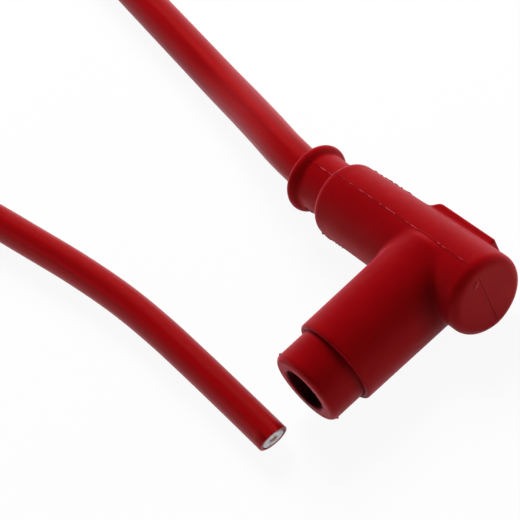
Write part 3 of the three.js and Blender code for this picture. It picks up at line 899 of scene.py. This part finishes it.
def torn_lines():
    """Short runs of torn flash along the top."""
    lines = []
    for start, end in TORN_SPANS:
        x = np.arange(start, end, FLASH_STEP)
        lines.append(on_skin(x, FLASH_SHIFT, skin_radius(x)))
    return lines


def nick_line():
    """A nick in the end face, with its raised rim."""
    across = np.linspace(*END_NICK_Y, END_NICK_POINTS)
    return on_skin(BODY_END_X, across, np.linspace(*END_NICK_Z, END_NICK_POINTS))


def slide_lines():
    """Runs of crumbs high on the back and low on the front."""
    lines = []
    for start, end, side in SLIDE_SPANS:
        x = np.arange(start, end, FLASH_STEP)
        r = skin_radius(x)
        lines.append(on_skin(x, side * r * math.cos(SLIDE_ANGLE), side * r * math.sin(SLIDE_ANGLE)))
    return lines


def ring_line(radius, along, axis, start=0.0, end=360.0, segments=160):
    """A ring about the lead side's axis or the plug side's axis, or a part of one, in degrees."""
    a = np.radians(np.linspace(start, end, segments))
    u, v = radius * np.cos(a), radius * np.sin(a)
    place = np.full_like(u, along)
    return np.stack([place, u, v] if axis == "body" else [u, -place, v], 1)


def make_flash(name, lines, material, form):
    """A piece of flash along lines in millimetres, with one of the rows of sizes for flash."""
    radius, tear, least = form
    sizes = {"Radius": radius * MM, "Step": FLASH_STEP * MM, "Tear length": tear * MM, "Least": least}
    return piece_from_tree(name, line_object(name + "_lines", lines), flash_tree(material), sizes, material)


# A thin pale ring round the body's shoulder, drawn as flash: a painted highlight along the rim of its
# rounding
shoulder = SHOULDER_ROUND * (1 - math.sqrt(0.5))
shoulder_ring = drawn_on(cap_distance, ring_line(BODY_FRONT_R - shoulder, -BODY_FRONT_X + shoulder, "body"))
seal_nubs = [
    ring_line(SEAL_R, SEAL_END - SEAL_LIP_ROUND, "arm", angle, angle + RIM_NUB_WIDTH, segments=5)
    for angle in RIM_NUB_ANGLES
]
parting_lines = [mould_line(1), mould_line(-1), end_line()]
# The parting line and the slide crumbs take the darker rubber, whose colour is painted shade
line_flash = make_flash("cap_parting_line", parting_lines, painted_shade_rubber, PARTING_LINE)
# The nick, the torn flash, the shoulder ring and the seal's rim nubs take the pale rubber, whose colour is a
# painted highlight
nick = make_flash("end_nick", [nick_line()], painted_glint_rubber, END_NICK)
torn_flash = make_flash("cap_torn_flash", torn_lines(), painted_glint_rubber, TORN_FLASH)
slide_flash = make_flash("cap_slide_crumbs", slide_lines(), painted_shade_rubber, SLIDE_CRUMBS)
shoulder_painted_highlight = make_flash("cap_shoulder_painted_highlight", [shoulder_ring], painted_glint_rubber, SHOULDER_LINE)
nub_flash = make_flash("seal_rim_nubs", seal_nubs, painted_glint_rubber, RIM_NUBS)

for node, material in {
    "core": resin,
    "contact_cup": brass_turned,
    "lead_screw": brass_turned,
    "contact_spring": steel_wire,
    "resistor_upper_cap": brass_turned,
    "resistor_rod": fired_ceramic,
    "resistor_lower_cap": brass_turned,
    "plug_terminal": brass_turned,
    "terminal_clip": steel_wire,
}.items():
    dress(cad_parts[node], material)

for piece, node, slot in (
    (cap, "cap", "cap_silicone"),
    (seal, "plug_seal", "seal_silicone"),
    (jacket, "lead_jacket", "lead_jacket"),
    (insulation, "lead_insulation", "lead_insulation"),
    (conductor, "lead_conductor", "copper"),
):
    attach(piece, BODY)
    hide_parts(node)
for piece in (line_flash, torn_flash, nick, slide_flash, shoulder_painted_highlight):
    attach(piece, BODY)
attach(nub_flash, BODY)

# Floor, light and camera, with lengths in metres where nothing else is said

TABLE_HALF_WIDTH = 3.0
TABLE_DROP = 0.0001         # keeps the table clear of what lies on it
TABLE_COLOUR = (0.95, 0.95, 0.95, 1)
TABLE_WHITE = 0.93          # share of plain white in what the camera and reflections see of the table
WALL_HEIGHT = 0.1           # the white wall reaches this high in the mirrored room, as a direction's z
CEILING_HEIGHT = 0.75       # and the room is at its dimmest from here up
DIM_ROOM = 0.05             # strength of the dim room, which also lights the object a little
LAMP_DISTANCE = 0.9
# Each lamp's direction from the cap, its width and its power in watts
LAMPS = {
    "key": ((-0.6, 0.45, 0.68), 0.45, 10.0),
    "back": ((0.6, 0.78, 0.14), 0.4, 3.4),
    "front": ((-0.15, -0.98, 0.06), 0.25, 3.0),
}
VIEW_AZIMUTH = math.radians(-19.67)
VIEW_HEIGHT = math.radians(46.65)
VIEW_ROLL = math.radians(27.58)
VIEW_DISTANCE = 633.8       # in millimetres, as the aim
VIEW_AIM = (-20.29, -22.78, 10.8)
VIEW_LENS = 244.84          # in millimetres, as the sensor
VIEW_SENSOR = 36
VIEW_CLIP = (0.01, 20)      # the camera sees what is between these distances


def make_floor():
    """A white table top that keeps a faint shadow, and is plain white to the camera and in reflections."""
    material = bpy.data.materials.new("white_table")
    material.use_nodes = True
    tree = material.node_tree
    tree.nodes.clear()
    lit = add_node(tree, "ShaderNodeBsdfDiffuse", {"Color": TABLE_COLOUR})
    white = add_node(tree, "ShaderNodeEmission", {"Color": (1, 1, 1, 1), "Strength": 1.0})
    ray = add_node(tree, "ShaderNodeLightPath")
    seen = add_node(tree, "ShaderNodeMath", links={
        0: ray.outputs["Is Camera Ray"], 1: ray.outputs["Is Glossy Ray"]}, operation="MAXIMUM")
    share = add_node(tree, "ShaderNodeMath", {1: TABLE_WHITE}, {0: seen.outputs[0]}, operation="MULTIPLY")
    mixed = add_node(tree, "ShaderNodeMixShader", links={
        0: share.outputs[0], 1: lit.outputs[0], 2: white.outputs[0]})
    add_node(tree, "ShaderNodeOutputMaterial", links={"Surface": mixed.outputs[0]})
    mesh = bpy.data.meshes.new("table")
    half = TABLE_HALF_WIDTH
    corners = [(-half, -half, 0), (half, -half, 0), (half, half, 0), (-half, half, 0)]
    mesh.from_pydata(corners, [], [(0, 1, 2, 3)])
    mesh.materials.append(material)
    floor = bpy.data.objects.new("table", mesh)
    floor.location.z = -TABLE_DROP
    bpy.context.scene.collection.objects.link(floor)


def area_light(name, direction, size, power):
    """A square soft light that faces the cap from a direction and leaves no glare on the rubber."""
    light = bpy.data.lights.new(name, "AREA")
    light.shape = "SQUARE"
    light.size = size
    light.energy = power
    lamp = bpy.data.objects.new(name, light)
    way = Vector(direction).normalized()
    lamp.location = ELBOW + way * LAMP_DISTANCE
    lamp.rotation_euler = way.to_track_quat("Z", "Y").to_euler()
    lamp.visible_glossy = False
    bpy.context.scene.collection.objects.link(lamp)


def make_world():
    """White to the camera. The rubber mirrors a white wall all round it and a dim room above that."""
    world = bpy.data.worlds.new("studio")
    world.use_nodes = True
    tree = world.node_tree
    tree.nodes.clear()
    way = add_node(tree, "ShaderNodeTexCoord").outputs["Generated"]
    height = add_node(tree, "ShaderNodeSeparateXYZ", links={"Vector": way}).outputs["Z"]
    wall = add_node(tree, "ShaderNodeMapRange", {1: WALL_HEIGHT, 2: CEILING_HEIGHT, 3: 1.0, 4: DIM_ROOM}, {
        0: height})
    ray = add_node(tree, "ShaderNodeLightPath")
    mirrored = add_node(tree, "ShaderNodeMapRange", {3: DIM_ROOM}, {
        0: ray.outputs["Is Glossy Ray"], 4: wall.outputs["Result"]})
    seen = add_node(tree, "ShaderNodeMath", links={
        0: ray.outputs["Is Camera Ray"], 1: mirrored.outputs["Result"]}, operation="MAXIMUM")
    sky = add_node(tree, "ShaderNodeBackground", {"Color": (1, 1, 1, 1)}, {"Strength": seen.outputs[0]})
    add_node(tree, "ShaderNodeOutputWorld", links={"Surface": sky.outputs[0]})
    bpy.context.scene.world = world


def make_camera():
    """The camera stands where the photograph's did, tilted about its own line of sight."""
    camera = bpy.data.cameras.new("camera")
    camera.lens = VIEW_LENS
    camera.sensor_width = VIEW_SENSOR
    camera.clip_start, camera.clip_end = VIEW_CLIP
    back = Vector((
        math.cos(VIEW_HEIGHT) * math.cos(VIEW_AZIMUTH),
        math.cos(VIEW_HEIGHT) * math.sin(VIEW_AZIMUTH),
        math.sin(VIEW_HEIGHT)))
    level = (-back).cross(Vector((0, 0, 1))).normalized()
    upright = level.cross(-back)
    up = upright * math.cos(VIEW_ROLL) + level * math.sin(VIEW_ROLL)
    right = (-back).cross(up)
    turn = Matrix((right, up, back)).transposed().to_4x4()
    viewer = bpy.data.objects.new("camera", camera)
    aim = Vector(placed(VIEW_AIM))
    viewer.matrix_world = Matrix.Translation(aim + back * VIEW_DISTANCE * MM) @ turn
    bpy.context.scene.collection.objects.link(viewer)
    bpy.context.scene.camera = viewer


make_floor()
for lamp_name, (direction, size, power) in LAMPS.items():
    area_light(lamp_name, direction, size, power)
make_world()
make_camera()
bpy.context.scene.view_settings.view_transform = "Standard"
